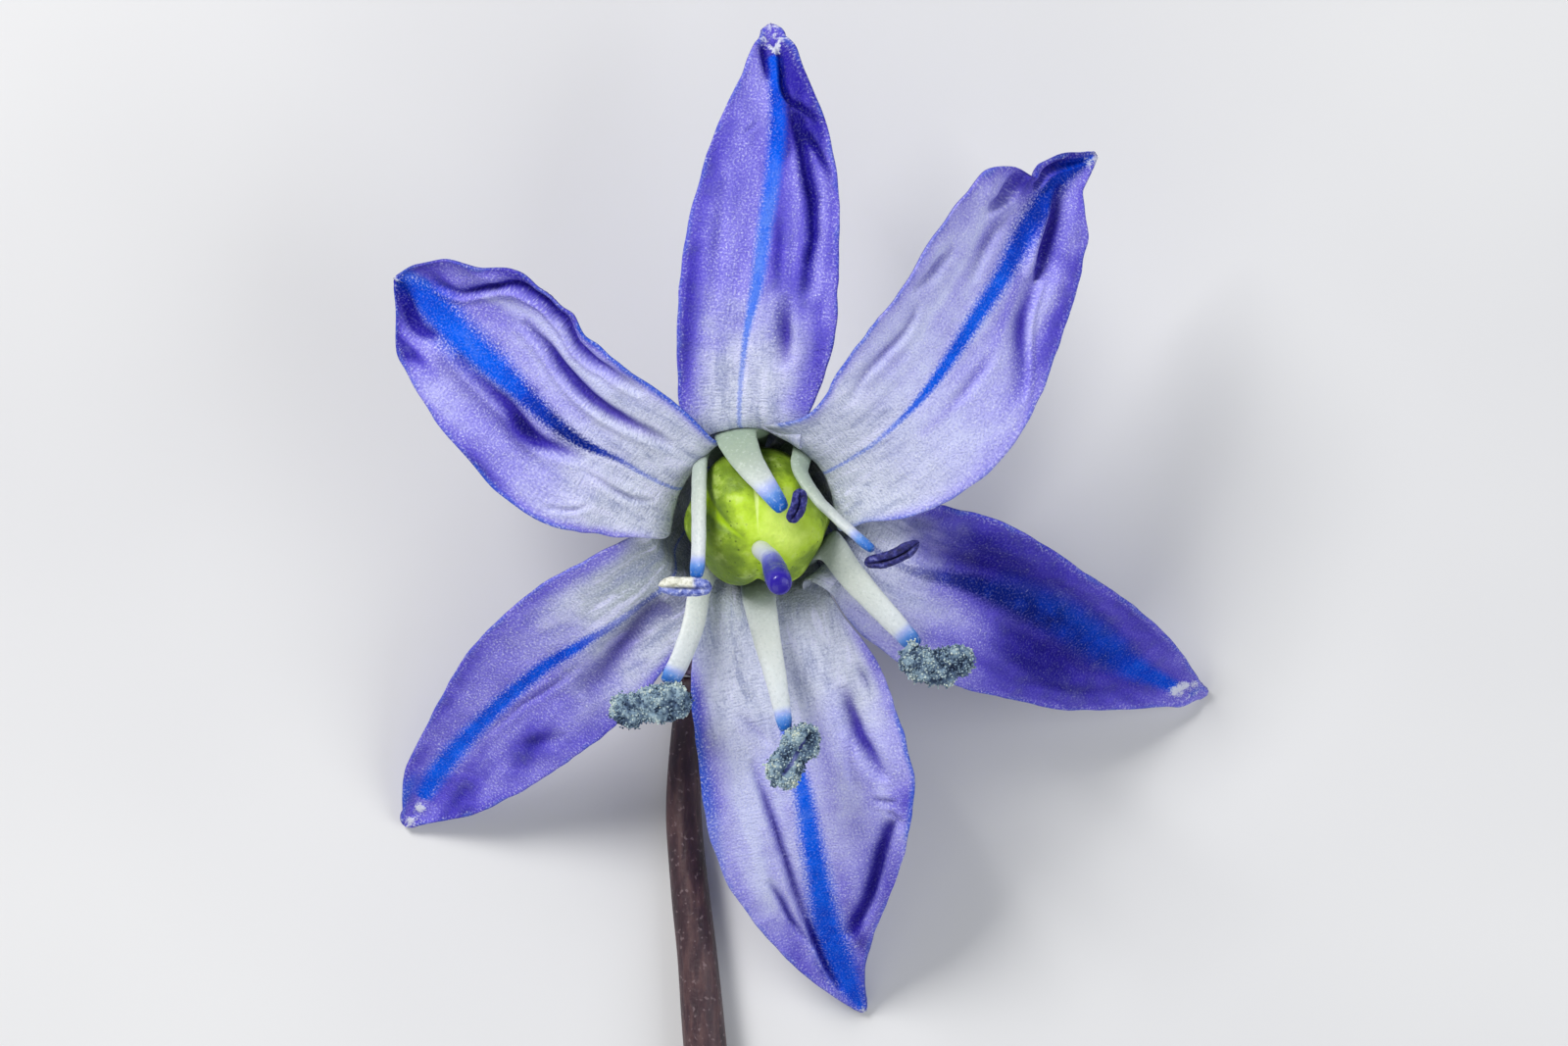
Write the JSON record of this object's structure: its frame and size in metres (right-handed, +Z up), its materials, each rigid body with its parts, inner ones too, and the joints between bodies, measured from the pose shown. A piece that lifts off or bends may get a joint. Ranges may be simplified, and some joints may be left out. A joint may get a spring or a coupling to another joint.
{
  "type": "siberian squill flower",
  "caption": "Open six-petalled blue spring flower picked on its bare purple-brown stalk, lying on its back with its face up.",
  "frame": {"origin": "middle of the footprint, on the table the flower lies on", "axes": "+Z up out of the flower's face, +Y from the cut end of the stalk towards the flower's top tepal, +X to the flower's right"},
  "size_m": [0.0226, 0.082, 0.0106],
  "materials": {
    "tepal": "satin",
    "filament": "satin",
    "anther": "matte",
    "ovary": "satin",
    "style": "satin",
    "stalk": "satin"
  },
  "bodies": {
    "root": {"scape": "stalk", "pedicel": "stalk", "bract": "stalk", "receptacle": "stalk", "ovary": "ovary", "style": "style", "tepal_outer_top": "tepal", "tepal_inner_right_upper": "tepal", "tepal_outer_right_lower": "tepal", "tepal_inner_bottom": "tepal", "tepal_outer_left_lower": "tepal", "tepal_inner_left_upper": "tepal", "filament_top": "filament", "anther_top": "anther", "filament_right_upper": "filament", "anther_right_upper": "anther", "filament_right_lower": "filament", "anther_right_lower": "anther", "filament_bottom": "filament", "anther_bottom": "anther", "filament_left_lower": "filament", "anther_left_lower": "anther", "filament_left_upper": "filament", "anther_left_upper": "anther"}
  },
  "joints": []
}
